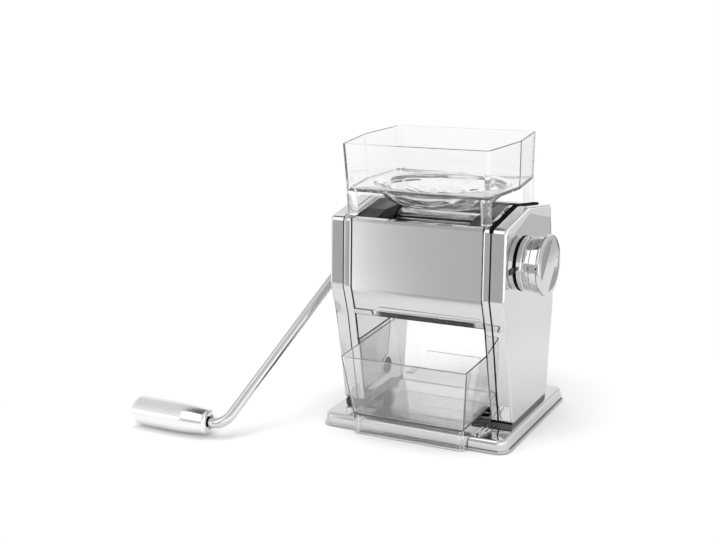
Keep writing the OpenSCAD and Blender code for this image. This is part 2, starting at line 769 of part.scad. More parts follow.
module gear(x0, x1, teeth, phase, bore_d, y, z) difference() {
    along_x(x0, x1 - x0) translate([y, z]) gear_outline(teeth, phase);
    bar_x(x0 - 1, x1 + 1, bore_d + 2 * run_gap, y, z);
}
module drive_gear() color("peru")
    gear(-gear_end_x, -gear_end_x + 2 * gear_w, gear_teeth, drive_phase, drive_neck_d, drive_y, drive_z);
module adjustable_gear() color("peru")
    gear(-gear_end_x + gear_w, -gear_end_x + 2 * gear_w, gear_teeth, adjust_phase, journal_d,
        adjust_y, adjust_z);
module idler_gear() color("peru")
    gear(-gear_end_x, outer_gear_x, idler_teeth, idler_phase, idler_d, idler_y, idler_z);
module feed_gear() color("peru")
    gear(-gear_end_x, outer_gear_x, gear_teeth, feed_phase, journal_d, feed_y, feed_z);

// Shouldered stud on the left bearing plate, with a head that keeps the idler on
module idler_stud() color("silver") left_hand() turned(idler_y, idler_z, [[plate_x, 0],
    [plate_x, idler_d / 2 - 1], [plate_end, idler_d / 2 - 1], [plate_end, idler_d / 2 + 2],
    [gear_end_x - gear_w + gear_mid_gap - pass_gap, idler_d / 2 + 2],
    [gear_end_x - gear_w + gear_mid_gap - pass_gap, idler_d / 2], [gear_end_x + pass_gap, idler_d / 2],
    [gear_end_x + pass_gap, 0]]);

// ---------- gap adjuster ----------

// Cradle that carries the adjustable roller and slides to and fro in the bearing plates
module adjuster_yoke() color("darkslategray") {
    along_x(-block_x0, 2 * block_x0)
        translate([adjust_y - yoke_front, adjust_z - 5]) square([yoke_bar_t, 10]);
    for (side = [0, 1]) mirror([side, 0, 0]) difference() {
        along_x(yoke_x0, block_x0 - yoke_x0)
            translate([adjust_y - yoke_front, adjust_z - 8]) square([yoke_front + yoke_back, 16]);
        bar_x(yoke_x0 - 1, block_x0 + 1, journal_d + 2 * run_gap, adjust_y, adjust_z);
    }
}

module bearing_block() difference() {
    along_x(block_x0, plate_end - block_x0)
        translate([adjust_y - block_front, adjust_z - block_h / 2])
            square([block_front + block_back, block_h]);
    bar_x(block_x0 - 1, plate_end + 1, journal_d + 2 * run_gap, adjust_y, adjust_z);
}
module left_bearing_block() color("goldenrod") left_hand() bearing_block();
module right_bearing_block() color("goldenrod") {
    bearing_block();
    bar_x(plate_end - 1, follower_end, follower_d, adjust_y - follower_r, adjust_z);
}

// Disc with a spiral slot that moves the follower pin as it turns
module regulator_cam() color("darkkhaki") difference() {
    bar_x(cam_x1 - cam_t, cam_x1, 2 * cam_r, adjust_y, adjust_z);
    bar_x(cam_x1 - cam_t - 1, cam_x1 + 1, cam_bore_d + 2 * run_gap, adjust_y, adjust_z);
    along_x(cam_x1 - cam_t - 1, cam_t + 2) translate([adjust_y, adjust_z]) cam_slot();
}
module cam_slot() {
    half = follower_d / 2 + 0.15;
    steps = 40;
    polygon(concat([for (i = [0:steps]) polar(cam_track(i / steps) + half, 180 - knob_turn * i / steps)],
        [for (i = [steps:-1:0]) polar(cam_track(i / steps) - half, 180 - knob_turn * i / steps)]));
    for (end = [0, 1]) translate(polar(cam_track(end), 180 - knob_turn * end)) circle(half);
}
function cam_track(share) = follower_r + gap_travel * share;

// ---------- scrapers and guides ----------

// Blade whose upper edge stands just off a roller and which rests on a lower tie rod
module scraper(centre, angle, gap, side) {
    edge = centre + polar(roller_d / 2 + gap, angle);
    rod = [side * rod_y, rod_zs[0]];
    along = unit(rod - edge);
    up = [-side * along[1], side * along[0]];
    seat = rod + up * (tie_rod_d / 2 + run_gap + sheet);
    along_x(-inner_x, 2 * inner_x) polygon([edge, seat, seat - up * sheet, edge - up * sheet]);
}
module rear_scraper() color("silver")
    scraper([drive_y, drive_z], -52, pass_gap, 1);
module front_scraper() color("silver")
    scraper([adjust_y, adjust_z], 232, pass_gap + gap_travel, -1);

// Cheek that keeps the grain on the rollers, arched over the feed roller
module right_grain_guide() color("black") difference() {
    along_x(inner_x - guide_w, guide_w) polygon([[-guide_y, guide_z[0]], [-guide_y, guide_z[1]],
        [guide_flat[0], guide_z[2]], [guide_flat[1], guide_z[2]], [guide_y, guide_z[1]],
        [guide_y, guide_z[0]]]);
    bar_x(0, inner_x + 1, feed_d + 2 * guide_gap, feed_y, feed_z);
}
module left_grain_guide() left_hand() right_grain_guide();

// ---------- regulator ----------

module regulator_bush() color("goldenrod") turned(adjust_y, adjust_z, [[bush_x0, shaft_d / 2 + run_gap],
    [bush_x0, 12], [cover_x - sheet, 12], [cover_x - sheet, shaft_d / 2 + 2], [bush_x1, shaft_d / 2 + 2],
    [bush_x1, shaft_d / 2 + run_gap]]);

module index_ring() color("silver") difference() {
    turned(adjust_y, adjust_z, [[cover_x, 12], [cover_x, 19], [bush_x1, 19], [bush_x1, 12]]);
    for (a = [0:index_pitch:359])
        translate([0, adjust_y, adjust_z] + [0, index_r * cos(a), index_r * sin(a)]) 
            bar_x(bush_x1 - dimple_depth, bush_x1 + 1, 3, 0, 0);
}

module knob_gasket() color("black") turned(adjust_y, adjust_z, [[cover_x, ring_r - 3], [cover_x, ring_r],
    [cover_x + ring_t - 0.3, ring_r], [cover_x + ring_t, ring_r - 0.3], [cover_x + ring_t, ring_r - 3]]);

module regulator_shaft() color("silver") difference() {
    union() {
        turned(adjust_y, adjust_z, [[cam_x1 - cam_t - 0.4, 0], [cam_x1 - cam_t - 0.4, cam_bore_d / 2],
            [cam_x1, cam_bore_d / 2], [cam_x1, shaft_d / 2], [bush_x0 - pass_gap - collar_t, shaft_d / 2],
            [bush_x0 - pass_gap - collar_t, collar_d / 2], [bush_x0 - pass_gap, collar_d / 2],
            [bush_x0 - pass_gap, shaft_d / 2], [hex_x0, shaft_d / 2], [hex_x0, 0]]);
        hex_x(hex_x0 - 1, spring_x1, shaft_af, adjust_y, adjust_z);
    }
    bar_x(spring_x1 - 10, spring_x1 + 1, screw_d + 2 * run_gap, adjust_y, adjust_z);
}

module shaft_end_screw() color("dimgray") {
    bar_x(spring_x1 - 9, spring_x1 + 1, screw_d, adjust_y, adjust_z);
    bar_x(spring_x1, spring_x1 + 1.2, 2 * end_washer_r, adjust_y, adjust_z);
    hex_x(spring_x1 + 1, spring_x1 + 2.3, 8, adjust_y, adjust_z);
}

// Knob turned from bar: two plain bands with a groove between, then a wider third band
module regulator_knob() color("gainsboro") difference() {
    turned(adjust_y, adjust_z, concat([[band_x[0], 0]], band(band_x[0], band_x[1], knob_r),
        [[band_x[1], knob_r - groove_depth], [band_x[2], knob_r - groove_depth]],
        band(band_x[2], band_x[3], knob_r), band(band_x[3], band_x[4], third_band_r), [[band_x[4], 0]]));
    hex_x(knob_x - 1, spring_x0 + 1, shaft_af + pass_gap, adjust_y, adjust_z);
    bar_x(spring_x0, band_x[4] + 1, 2 * knob_cavity_r, adjust_y, adjust_z);
    bar_x(band_x[4] - recess_depth, band_x[4] + 1, 2 * recess_r, adjust_y, adjust_z);
    radial(grub_x, adjust_y, adjust_z, grub_angle, knob_cavity_r - 1, knob_r + 1, screw_d + 2 * run_gap);
    bar_x(knob_x - 1, knob_x + 3, 3 + 2 * run_gap, adjust_y, adjust_z + index_r);
}
// Band of a turned part from x0 to x1 with broken edges
function band(x0, x1, r) =
    [[x0, r - band_edge], [x0 + band_edge, r], [x1 - band_edge, r], [x1, r - band_edge]];

// Flanged cap of the knob: two D-shaped finger pockets leave a grip bar across its face
module knob_rim() color("gainsboro") difference() {
    spigot_x = band_x[4] - recess_depth;
    front = rim_x + rim_t;
    turned(adjust_y, adjust_z, [[spigot_x, 0], [spigot_x, recess_r - run_gap],
        [rim_x, recess_r - run_gap], [rim_x, rim_r - rim_edge], [rim_x + rim_edge, rim_r],
        [front - 1.5 * rim_edge, rim_r], [front - 0.4 * rim_edge, rim_r - 0.6 * rim_edge],
        [front, rim_r - 2 * rim_edge], [front + rim_dome, 0]]);
    for (turn = [pocket_turn, pocket_turn + 180])
        along_x(rim_x + rim_t - pocket_depth, pocket_depth + 3) translate([adjust_y, adjust_z]) rotate(turn)
            intersection() {
                circle(pocket_r);
                translate([pocket_chord, -pocket_r]) square(2 * pocket_r);
            }
}

module knob_pin() color("silver") bar_x(bush_x1 + pass_gap, knob_x + 2.8, 3, adjust_y, adjust_z + index_r);

module grub_screw() color("dimgray")
    radial(grub_x, adjust_y, adjust_z, grub_angle, knob_cavity_r + 0.4, knob_r - 0.6, screw_d);

// Coil spring between the knob's floor and the washer on the shaft's end
module knob_spring() color("silver") {
    ring_points = 8;
    steps = 14 * spring_turns;
    x0 = spring_x0 + spring_wire / 2 + 0.05;
    run = spring_x1 - spring_x0 - spring_wire - 0.1;
    skin([for (i = [0:steps]) let (a = 360 * spring_turns * i / steps, x = x0 + run * i / steps)
        [for (k = [0:ring_points - 1]) let (t = 360 * k / ring_points, w = spring_wire / 2)
            [x + w * sin(t), adjust_y + (spring_r + w * cos(t)) * cos(a),
             adjust_z + (spring_r + w * cos(t)) * sin(a)]]]);
}

// ---------- crank ----------

// The crank is drawn in a plane through the drive axis and then turned to its rest angle
module crank_place() translate([0, drive_y, drive_z]) rotate([arm_angle, 0, 0]) left_hand() children();

// Straight length of rod, let a little way into the bend at each end
module rod(from, angle, len) translate(from) rotate([0, 0, angle]) rotate([0, 90, 0])
    translate([0, 0, -rod_lap]) cylinder(h = len + 2 * rod_lap, d = rod_d - 2 * rod_step);

module rod_bend(centre, start) translate(centre) rotate([0, 0, start])
    rotate_extrude(angle = lean) translate([bend_r, 0]) circle(d = rod_d);

module crank_arm() color("gainsboro") {
    hex_x(-bend_x1 + bend_tangent - rod_lap, -shaft_end_x + socket_depth - 1, socket_af - pass_gap / 2,
        drive_y, drive_z);
    crank_place() {
        rod_bend([bend_x1 - bend_tangent, bend_r, 0], -90);
        rod([bend_x1, 0, 0] + bend_tangent * [cos(lean), sin(lean), 0], lean,
            norm([crank_splay, crank_reach]) - 2 * bend_tangent);
        rod_bend([bend_x2 + bend_tangent, crank_reach - bend_r, 0], 90);
        rod([bend_x2 + bend_tangent, crank_reach, 0], 0, axle_end - bend_x2 - bend_tangent - rod_lap);
    }
}

// Outline turned about the grip's own axis, in (x, radius)
module on_axle(outline) crank_place() turned(crank_reach, 0, outline);

module grip_retainer() color("silver") {
    x0 = pocket_x + pass_gap;
    x1 = x0 + retainer_t;
    on_axle([[x0, rod_d / 2 + run_gap], [x0, grip_pocket_r - 1], [x1, grip_pocket_r - 1],
        [x1, rod_d / 2 + run_gap]]);
}

neck_len = 36;
neck_steps = 8;
function swell(s) = grip_neck_d / 2 + (grip_d - grip_neck_d) / 2 * sin(90 * s / neck_len);
module crank_grip() color("whitesmoke") on_axle(concat(
    [[grip_x, mouth_d / 2], [grip_x, grip_neck_d / 2 - 2.4], [grip_x + 0.7, grip_neck_d / 2 - 0.8]],
    [for (i = [0:neck_steps]) let (s = 2 + (neck_len - 2) * i / neck_steps) [grip_x + s, swell(s)]],
    [[grip_x + grip_len - 7, grip_d / 2], [grip_x + grip_len - 3.4, grip_d / 2 - 1],
     [grip_x + grip_len - 1.2, grip_d / 2 - 3], [grip_x + grip_len - 0.4, grip_pocket_r + 0.6],
     [grip_x + grip_len - 0.4, grip_pocket_r], [pocket_x, grip_pocket_r], [pocket_x, rod_d / 2 + run_gap],
     [grip_x + mouth_depth, rod_d / 2 + run_gap], [grip_x + mouth_depth, mouth_d / 2]]));

module grip_cap() color("whitesmoke") {
    end = grip_x + grip_len;
    r = grip_pocket_r - run_gap;
    on_axle([[end - cap_depth, 0], [end - cap_depth, r], [end - 0.5, r], [end - 0.1, r - 1], [end, 0]]);
}

// ---------- hopper ----------

// Outline of the rim, six-sided with rounded corners
hopper_corners = [[-hopper_corner_x, -hopper_y], [hopper_corner_x, -hopper_y], [hopper_mid_x, 0],
    [hopper_corner_x, hopper_y], [-hopper_corner_x, hopper_y], [-hopper_mid_x, 0]];
hopper_arcs = [for (i = [0:5]) corner_arc(hopper_corners[(i + 5) % 6], hopper_corners[i],
    hopper_corners[(i + 1) % 6], hopper_corner_r, 0, corner_steps)];
hopper_rim = [for (i = [0:5]) let (from = hopper_arcs[i][corner_steps], to = hopper_arcs[(i + 1) % 6][0])
    each concat(hopper_arcs[i], [for (k = [1:edge_points]) from + (to - from) * k / (edge_points + 1)])];

// The outline at a height, moved inwards
function hopper_loop(z, inset) =
    [for (p = hopper_rim) [p[0] * (1 - inset / hopper_corner_x), p[1] * (1 - inset / hopper_y), z]];

// Loop of the bowl: a share of 0 is the slot, of 1 the oval mouth in the hopper floor
function bowl_loop(share, z, wall) =
    [for (p = hopper_loop(0, 0)) let (t = atan2(p[1] / hopper_y, p[0] / hopper_mid_x),
        oval = [(bowl_x + wall) * cos(t), (bowl_y + wall) * sin(t)],
        slot = [(slot_len / 2 + wall) * blunt(cos(t)), (slot_w / 2 + wall) * blunt(sin(t)) + slot_y])
        [each (slot + (oval - slot) * share), z]];
function blunt(v) = sign(v) * pow(abs(v), 0.4);
// Share and rise of the bowl from the slot outwards, flared where it meets the hopper floor
bowl_curve = concat([for (i = [0:bowl_steps]) let (t = bowl_turn * i / bowl_steps) [sin(t), 1 - cos(t)]],
    bowl_flare);

module hopper() color("lightcyan", 0.4) {
    drop = hopper_floor_z - slot_z;
    w = hopper_wall;
    outer = [hopper_loop(hopper_z - 0.5, 0), hopper_loop(hopper_floor_z + 2, hopper_draft),
        hopper_loop(hopper_floor_z + 0.5, hopper_draft + 0.4),
        hopper_loop(hopper_floor_z, hopper_draft + 1.4)];
    last = len(bowl_curve) - 1;
    under = [for (i = [last:-1:0]) let (c = bowl_curve[i])
        bowl_loop(c[0], slot_z + drop * c[1], slot_wall)];
    above = [for (i = [0:last]) let (c = bowl_curve[i])
        bowl_loop(c[0], slot_z + (i == 0 ? 0 : floor_t) + drop * c[1], 0)];
    inner = [hopper_loop(hopper_floor_z + floor_t, hopper_draft + w + 1.6),
        hopper_loop(hopper_floor_z + floor_t + 0.6, hopper_draft + w + 0.4),
        hopper_loop(hopper_floor_z + floor_t + 1.6, hopper_draft + w), hopper_loop(hopper_z - 0.4, w),
        hopper_loop(hopper_z, w - 0.4), hopper_loop(hopper_z, 0.5)];
    skin(concat(outer, under, above, inner), ring = true);
    slope = ridge_rise / shoulder_y;
    post_z = shoulder_z + slope * (shoulder_y - post_y + post_d / 2) + pass_gap;
    for (x = [-post_x, post_x], y = [-post_y, post_y])
        translate([x, y, post_z]) cylinder(h = hopper_floor_z + 1 - post_z, d = post_d);
}

// ---------- tray ----------

// Rounded oblong from y0 to y1, at a height that rises towards the rear
function tray_loop(half_x, y0, y1, corner_r, z, rise) =
    [for (r = [max(corner_r, 0.2)], c = [[1, 1], [-1, 1], [-1, -1], [1, -1]], i = [0:arc_steps])
        let (start = c[1] > 0 ? (c[0] > 0 ? 0 : 90) : (c[0] > 0 ? 270 : 180),
             p = [c[0] * (half_x - r), c[1] > 0 ? y1 - r : y0 + r] + polar(r, start + 90 * i / arc_steps))
        [p[0], p[1], z + rise * (p[1] - y0) / (y1 - y0)]];

// Rounded foot of the tray from its floor up to its walls, moved inwards by an inset
function tray_foot(inset, fillet, z) =
    [for (k = [0:tray_steps]) let (t = 90 * k / tray_steps, i = inset + fillet * (1 - sin(t)))
        tray_loop(tray_floor_x - i, tray_front + i, tray_back - i, tray_corner_r - i,
            z + fillet * (1 - cos(t)), 0)];

module tray() color("lightcyan", 0.4) {
    w = tray_wall;
    e = tray_edge;
    rim_y0 = tray_front - tray_draft_front;
    rim_y1 = rim_y0 + tray_len;
    skin(concat(tray_foot(0, tray_fillet, tray_z),
        [tray_loop(tray_top_x, rim_y0, rim_y1, tray_corner_r, tray_rim_z - e, tray_rise),
        tray_loop(tray_top_x - e, rim_y0 + e, rim_y1 - e, tray_corner_r - e, tray_rim_z, tray_rise),
        tray_loop(tray_top_x - w + e, rim_y0 + w - e, rim_y1 - w + e, tray_corner_r - w + e,
            tray_rim_z, tray_rise),
        tray_loop(tray_top_x - w, rim_y0 + w, rim_y1 - w, tray_corner_r - w, tray_rim_z - e, tray_rise)],
        [for (k = [tray_steps:-1:0]) tray_foot(w, tray_fillet - w, tray_z + w)[k]]), flip = true);
    // Skirt that hangs in front of the base, with a short return at each end
    translate([-skirt_x, tray_front, lip_lift]) cube([2 * skirt_x, skirt_t, tray_z + skirt_lap - lip_lift]);
    for (x = [-skirt_x, skirt_x - skirt_t]) translate([x, tray_front, lip_lift])
        cube([skirt_t, tray_open + skirt_t - pass_gap, tray_z + 1 - lip_lift]);
    // Finger rib across the rear wall
    translate([-finger_rib[0] / 2, tray_back + 0.4, finger_rib_z]) cube(finger_rib);
}

module right_tray_runner() color("black") difference() {
    translate([0, 0, base_h]) linear_extrude(runner_h) {
        translate([runner_x0, runner_front]) square([runner_x1 - runner_x0, runner_mid - runner_front]);
        translate([runner_x1 - rail_w, runner_front]) square([rail_w, runner_back - runner_front]);
    }
    for (i = [0:1]) translate([runner_x0, runner_front + i * (pocket_len + runner_rim), base_h + runner_floor])
        translate([runner_rim, runner_rim, 0]) cube([runner_x1 - runner_x0 - rail_w - runner_rim, pocket_len, runner_h]);
}
module left_tray_runner() left_hand() right_tray_runner();

base_plate();
rubber_feet();
left_plinth();
right_plinth();
left_inner_side();
right_inner_side();
left_side_gasket();
right_side_gasket();
left_side_cover();
right_side_cover();
left_bearing_plate();
right_bearing_plate();
front_panel();
rear_panel();
chute_lip();
tie_rods();
rod_screws();
cover_studs();
base_screws();
base_nuts();
eyelet();
index_mark();
drive_bushes();
feed_bushes();
crank_bush();
drive_roller();
adjustable_roller();
feed_roller();
drive_gear();
adjustable_gear();
idler_gear();
idler_stud();
feed_gear();
adjuster_yoke();
left_bearing_block();
right_bearing_block();
front_scraper();
rear_scraper();
left_grain_guide();
right_grain_guide();
regulator_bush();
index_ring();
knob_gasket();
regulator_shaft();
regulator_cam();
shaft_end_screw();
regulator_knob();
knob_rim();
knob_pin();
grub_screw();
knob_spring();
crank_arm();
grip_retainer();
crank_grip();
grip_cap();
hopper();
tray();
left_tray_runner();
right_tray_runner();
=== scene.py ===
import json
import math

import bpy
import numpy as np
from mathutils import Matrix, Vector

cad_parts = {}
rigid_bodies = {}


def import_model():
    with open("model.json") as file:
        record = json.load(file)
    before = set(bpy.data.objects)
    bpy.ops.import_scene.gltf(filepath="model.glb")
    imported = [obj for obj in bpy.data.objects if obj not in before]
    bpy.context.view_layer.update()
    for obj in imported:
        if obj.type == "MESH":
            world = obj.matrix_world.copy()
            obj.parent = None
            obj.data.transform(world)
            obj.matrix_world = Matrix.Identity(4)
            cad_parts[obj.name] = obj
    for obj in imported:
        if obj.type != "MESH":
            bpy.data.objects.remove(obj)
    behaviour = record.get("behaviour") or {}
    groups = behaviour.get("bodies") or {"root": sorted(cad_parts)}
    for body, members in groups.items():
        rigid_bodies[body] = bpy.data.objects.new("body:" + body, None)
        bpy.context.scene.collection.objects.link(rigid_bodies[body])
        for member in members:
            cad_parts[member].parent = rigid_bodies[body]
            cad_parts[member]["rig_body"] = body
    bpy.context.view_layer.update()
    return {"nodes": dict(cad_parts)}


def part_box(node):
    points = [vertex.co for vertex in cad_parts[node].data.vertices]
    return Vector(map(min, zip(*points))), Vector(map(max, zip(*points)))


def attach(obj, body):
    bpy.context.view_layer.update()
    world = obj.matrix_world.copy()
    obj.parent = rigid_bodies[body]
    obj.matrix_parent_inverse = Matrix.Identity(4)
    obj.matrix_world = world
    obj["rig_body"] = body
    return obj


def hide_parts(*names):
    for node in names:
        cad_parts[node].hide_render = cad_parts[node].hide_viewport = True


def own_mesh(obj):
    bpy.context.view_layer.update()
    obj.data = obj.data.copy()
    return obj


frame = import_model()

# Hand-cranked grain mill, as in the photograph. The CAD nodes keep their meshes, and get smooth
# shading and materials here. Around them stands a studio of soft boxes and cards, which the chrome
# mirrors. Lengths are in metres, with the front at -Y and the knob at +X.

NODES = frame["nodes"]


# ---------------------------------------------------------------- node graphs
class Graph:
    """The node tree of a material or a world, with a method for each step that repeats."""

    def __init__(self, owner, coordinates):
        owner.use_nodes = True
        self.nodes, self.links = owner.node_tree.nodes, owner.node_tree.links
        self.nodes.clear()
        self.vector = self.put("ShaderNodeTexCoord").outputs[coordinates]

    def fill(self, node, inputs):
        """Inputs of a node by name or place: a socket is linked, and anything else is a value."""
        for key, value in inputs.items():
            if isinstance(value, bpy.types.NodeSocket):
                self.links.new(value, node.inputs[key])
            else:
                node.inputs[key].default_value = value

    def put(self, kind, inputs=None, **settings):
        """One node, with its settings and its inputs."""
        node = self.nodes.new(kind)
        for key, value in settings.items():
            setattr(node, key, value)
        self.fill(node, inputs or {})
        return node

    def xyz(self):
        """The three coordinates of the shaded point, or of the ray in a world."""
        return self.put("ShaderNodeSeparateXYZ", {0: self.vector}).outputs

    def away(self, vector, centre):
        """Distance of a point from a centre."""
        return self.put("ShaderNodeVectorMath", {0: vector, 1: centre},
                        operation="DISTANCE").outputs["Value"]

    def math(self, operation, *values):
        return self.put("ShaderNodeMath", dict(enumerate(values)), operation=operation).outputs[0]

    def product(self, first, *others):
        for other in others:
            first = self.math("MULTIPLY", first, other)
        return first

    def ramp(self, value, low, high, start, end, **settings):
        """From start to end as value goes from low to high."""
        return self.put("ShaderNodeMapRange",
                        {"Value": value, "From Min": low, "From Max": high, "To Min": start,
                         "To Max": end}, **settings).outputs[0]

    def smooth(self, value, low, high, start=0.0, end=1.0):
        return self.ramp(value, low, high, start, end, interpolation_type="SMOOTHSTEP")

    def above(self, value, span):
        """1 where value is above the span, 0 below it, and a fade inside."""
        return self.smooth(value, *span)

    def below(self, value, span):
        """1 where value is below the span, 0 above it, and a fade inside."""
        return self.smooth(value, *span, start=1.0, end=0.0)

    def noise(self, scale, detail, rough=0.55, stretch=(1, 1, 1)):
        point = self.put("ShaderNodeMapping", {"Vector": self.vector, "Scale": stretch}).outputs[0]
        return self.put("ShaderNodeTexNoise", {"Vector": point, "Scale": scale, "Detail": detail,
                                               "Roughness": rough}).outputs["Fac"]

    def blend(self, share, first, second):
        """A number between first and second."""
        return self.put("ShaderNodeMix", {"Factor": share, "A": first, "B": second}).outputs[0]

    def tint(self, share, first, second):
        """A colour between first and second."""
        return self.put("ShaderNodeMix", {"Factor": share, 6: first, 7: second},
                        data_type="RGBA").outputs[2]

    def cloud(self, scale, colour, spread):
        """A colour that varies a little, by a share of itself."""
        return self.tint(self.noise(scale, detail=4.0), (*(c * (1 - spread) for c in colour), 1.0),
                         (*(min(1.0, c * (1 + spread)) for c in colour), 1.0))

    def bump(self, height, distance, normal=None):
        inputs = {"Height": height, "Strength": 1.0, "Distance": distance}
        if normal is not None:
            inputs["Normal"] = normal
        return self.put("ShaderNodeBump", inputs).outputs[0]

    def mix_shader(self, share, first, second):
        return self.put("ShaderNodeMixShader", {0: share, 1: first, 2: second}).outputs[0]


def surface(name):
    """A fresh material, its graph and its Principled shader."""
    mat = bpy.data.materials.new(name)
    g = Graph(mat, "Object")
    shader = g.put("ShaderNodeBsdfPrincipled")
    g.put("ShaderNodeOutputMaterial", {"Surface": shader.outputs[0]})
    return mat, g, shader


# ---------------------------------------------------------------- kinds of material
METAL_SPREAD, PLASTIC_SPREAD = 0.03, 0.05
PLASTIC_SMUDGE = 0.08


def metal(name, colour, roughness, rough_spread=0.03, wave=0.0, wave_scale=18.0, grain=0.0,
          grain_scale=900.0, stretch=(1, 1, 1), marks=(), lean=None):
    """Polished or worked metal: slow waves, fine grain, and smudges in its gloss. Each of the marks
    is a mask and the colour there. Lean is the height of a face that tips."""
    mat, g, shader = surface(name)
    tone = g.cloud(30.0, colour, METAL_SPREAD)
    for mask, mark in marks:
        tone = g.tint(mask(g), tone, (*mark, 1.0))
    smudge = g.noise(70.0, detail=5.0, rough=0.65)
    g.fill(shader, {"Base Color": tone, "Metallic": 1.0,
                    "Roughness": g.ramp(smudge, 0.35, 0.75, roughness, roughness + rough_spread)})
    normal = None
    if wave:
        normal = g.bump(g.noise(wave_scale, detail=1.0, rough=0.4), wave)
    if grain:
        fine = g.noise(grain_scale, detail=4.0, rough=0.6, stretch=stretch)
        normal = g.bump(fine, grain, normal)
    if lean:
        normal = g.bump(lean(g), 1.0, normal)
    if normal is not None:
        g.fill(shader, {"Normal": normal})
    return mat


def plastic(name, colour, roughness, grain=0.00001, specular=0.5):
    """Moulded plastic or rubber with a fine grain."""
    mat, g, shader = surface(name)
    smudge = g.noise(90.0, detail=4.0, rough=0.6)
    g.fill(shader, {"Base Color": g.cloud(45.0, colour, PLASTIC_SPREAD),
                    "Specular IOR Level": specular,
                    "Roughness": g.ramp(smudge, 0.3, 0.75, roughness, roughness + PLASTIC_SMUDGE),
                    "Normal": g.bump(g.noise(1500.0, detail=3.0), grain)})
    return mat


CLEAR_TINT, CLEARNESS, CLEAR_IOR = (0.995, 0.995, 0.995, 1.0), 0.94, 1.49
CLEAR_SMUDGE, CLEAR_WAVE = 0.02, 0.00012


def clear_plastic(name, skin=None, depth=0.0):
    """Clear moulded plastic, with a trace of haze that lights its edges. Skin is the height of an
    uneven moulding, and depth its size."""
    mat, g, shader = surface(name)
    smudge = g.noise(60.0, detail=4.0, rough=0.6)
    normal = g.bump(g.noise(22.0, detail=1.0, rough=0.4), CLEAR_WAVE)
    if skin:
        normal = g.bump(skin(g), depth, normal)
    g.fill(shader, {"Base Color": CLEAR_TINT, "Transmission Weight": CLEARNESS, "IOR": CLEAR_IOR,
                    "Normal": normal,
                    "Roughness": g.ramp(smudge, 0.45, 0.8, 0.0, CLEAR_SMUDGE)})
    return mat


# ---------------------------------------------------------------- zones on the pieces
# Each function takes a Graph, and gives a mask of the zone or the height of a surface. Each pair of
# numbers is the span over which a zone fades, in metres along the axis that its name ends with.
LEFT_LEAN = -0.06  # rise per metre of width
LEFT_FRONT_Y, LEFT_FRONT_Z = (-0.05, -0.046), (0.122, 0.127)


def left_front_lean(g):
    """The front face of the left cover leans a little across its width."""
    x, y, z = g.xyz()
    return g.product(x, LEFT_LEAN, g.product(g.below(y, LEFT_FRONT_Y), g.above(z, LEFT_FRONT_Z)))


LEFT_INSIDE_X, LEFT_INSIDE_Y, LEFT_INSIDE_Z = (-0.0796, -0.0794), (0.024, 0.03), (0.07, 0.08)


def left_inside_painted_shade(g):
    """The inside of the left cover where it shows through the eyelet, painted near black as shade.
    """
    x, y, z = g.xyz()
    return g.product(g.above(x, LEFT_INSIDE_X), g.below(g.math("ABSOLUTE", y), LEFT_INSIDE_Y),
                     g.below(z, LEFT_INSIDE_Z))


RIGHT_SIDE_X, RIGHT_UPPER_Z = (0.0794, 0.0800), (0.120, 0.140)
TOP_SLOPE, TOP_INSET = 0.28, 0.1865  # of the line where the border starts, below the top edge
BACK_SLOPE, BACK_INSET = 0.12, 0.0691  # of the line where it starts, in from the back edge
BORDER_FADE, CREASE_WIDTH, CREASE_END = (0.0, 0.0008), (0.0003, 0.0009), (-0.0005, 0.0)


def right_zones(g):
    """For the right cover: how far a point lies past the top line and the back line, and a mask of
    the side face above the knob."""
    x, y, z = g.xyz()
    past_top = g.math("SUBTRACT", g.math("MULTIPLY_ADD", g.math("ABSOLUTE", y), TOP_SLOPE, z),
                      TOP_INSET)
    past_back = g.math("SUBTRACT", g.math("MULTIPLY_ADD", z, BACK_SLOPE, y), BACK_INSET)
    return past_top, past_back, g.product(g.above(x, RIGHT_SIDE_X), g.above(z, RIGHT_UPPER_Z))


def right_border_painted_highlight(g):
    """Painted highlight: a paler border on the right cover's side face, along its top and its back
    edge.
    """
    past_top, past_back, face = right_zones(g)
    return g.product(g.math("MAXIMUM", g.above(past_top, BORDER_FADE),
                            g.above(past_back, BORDER_FADE)), face)


def right_crease_painted_shade(g):
    """Painted shade in the crease inside the back border."""
    past_top, past_back, face = right_zones(g)
    return g.product(g.below(g.math("ABSOLUTE", past_back), CREASE_WIDTH),
                     g.below(past_top, CREASE_END), face)


LIP_UNDER_Z, LIP_LEFT_X, LIP_RIGHT_X = (0.1042, 0.1047), (-0.039, -0.034), (0.050, 0.054)


def lip_underside_painted_shade(g):
    """Painted shade on the underside of the lip's bar, between its bright ends."""
    x, _, z = g.xyz()
    return g.product(g.below(z, LIP_UNDER_Z), g.above(x, LIP_LEFT_X), g.below(x, LIP_RIGHT_X))


EYELET_BORE = (0.0080, 0.0083)  # from the eyelet's axis


def eyelet_bore_painted_shade(g):
    """Painted shade in the bore inside the eyelet's flange."""
    low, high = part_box("eyelet")
    middle = (low + high) / 2
    _, y, z = g.xyz()
    across = g.put("ShaderNodeCombineXYZ", {0: 0.0, 1: y, 2: z}).outputs[0]
    return g.below(g.away(across, (0, middle.y, middle.z)), EYELET_BORE)


BOWL_TOP_Z, BOWL_SIDE_X = (0.2020, 0.2055), (0.052, 0.056)


def bowl_skin(g):
    """The uneven skin of the hopper's bowl, a deep moulding between the posts."""
    x, _, z = g.xyz()
    inside = g.product(g.below(z, BOWL_TOP_Z), g.below(g.math("ABSOLUTE", x), BOWL_SIDE_X))
    return g.product(inside, g.noise(42.0, detail=2.0, stretch=(0.6, 1.3, 1.3)))


